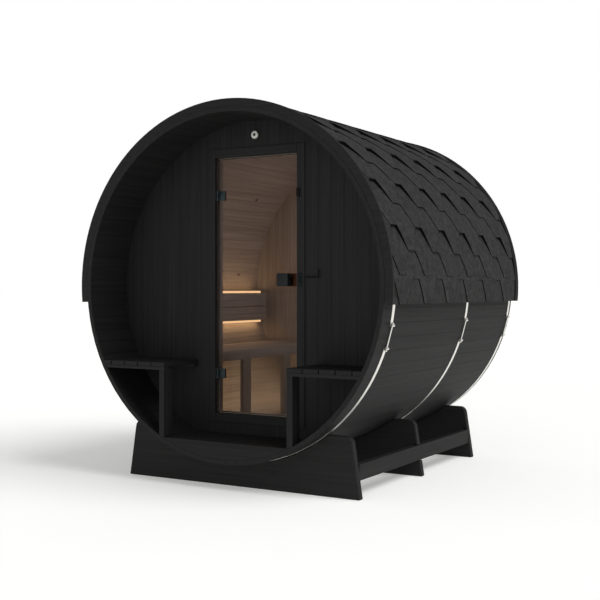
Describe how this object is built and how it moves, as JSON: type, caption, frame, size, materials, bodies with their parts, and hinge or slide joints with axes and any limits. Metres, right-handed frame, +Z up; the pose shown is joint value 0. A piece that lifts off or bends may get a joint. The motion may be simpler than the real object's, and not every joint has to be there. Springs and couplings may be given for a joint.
{
  "type": "barrel sauna",
  "caption": "Black barrel sauna on cradles with a shingled half-round roof, steel hoops, an open porch with side benches, and a glass door that swings out of a lit cabin.",
  "frame": {"origin": "on the ground under the middle of the barrel, halfway along its length", "axes": "+Z up, +Y towards the rear wall, -Y out of the porch, +X to the right as seen from the porch"},
  "size_m": [2.198, 2.05, 2.299],
  "materials": {
    "black_stained_spruce": "matt black stain",
    "bitumen_shingle": "black mineral granules on bitumen felt",
    "stainless_steel": "bright rolled strip",
    "natural_spruce": "planed and untreated",
    "bronze_glass": "bronze tinted toughened glass",
    "black_metal": "satin black powder coat",
    "stained_handle_wood": "oiled",
    "white_plastic": "satin white",
    "warm_light": "warm white light strip behind a diffuser"
  },
  "bodies": {
    "sauna": {"barrel_top_left": "black_stained_spruce", "barrel_top_right": "black_stained_spruce", "barrel_shoulder_left": "black_stained_spruce", "barrel_shoulder_right": "black_stained_spruce", "barrel_flank_left": "black_stained_spruce", "barrel_flank_right": "black_stained_spruce", "barrel_belly_left": "black_stained_spruce", "barrel_belly_right": "black_stained_spruce", "roof_left": "bitumen_shingle", "roof_right": "bitumen_shingle", "roof_trims": "black_stained_spruce", "cradle_front": "black_stained_spruce", "cradle_middle": "black_stained_spruce", "cradle_rear": "black_stained_spruce", "side_rails": "black_stained_spruce", "hoop_front": "stainless_steel", "hoop_middle": "stainless_steel", "hoop_rear": "stainless_steel", "front_wall_left": "black_stained_spruce", "front_wall_right": "black_stained_spruce", "front_wall_top": "black_stained_spruce", "front_wall_sill": "black_stained_spruce", "rear_wall": "black_stained_spruce", "cabin_floor": "natural_spruce", "porch_floor": "black_stained_spruce", "porch_fascia": "black_stained_spruce", "porch_seat_left": "black_stained_spruce", "porch_seat_right": "black_stained_spruce", "porch_posts": "black_stained_spruce", "porch_bearers": "black_stained_spruce", "door_frame": "black_stained_spruce", "door_lining": "natural_spruce", "hinge_leaves": "stainless_steel", "strike_plate": "stainless_steel", "bumper_clip": "black_metal", "door_hook": "black_metal", "vent_cap": "white_plastic", "bench_seat": "natural_spruce", "bench_frame": "natural_spruce", "backrest": "natural_spruce", "light_strips": "warm_light"},
    "door": {"door_glass": "bronze_glass", "hinge_clamps": "stainless_steel", "handle_outer": "black_metal", "handle_inner": "stained_handle_wood"}
  },
  "joints": [
    {"name": "door_hinge", "type": "hinge", "parent": "sauna", "child": "door", "pos_m": [-0.285, -0.672, 1.2], "axis": [0, 0, -1], "range_deg": [0, 100]}
  ]
}
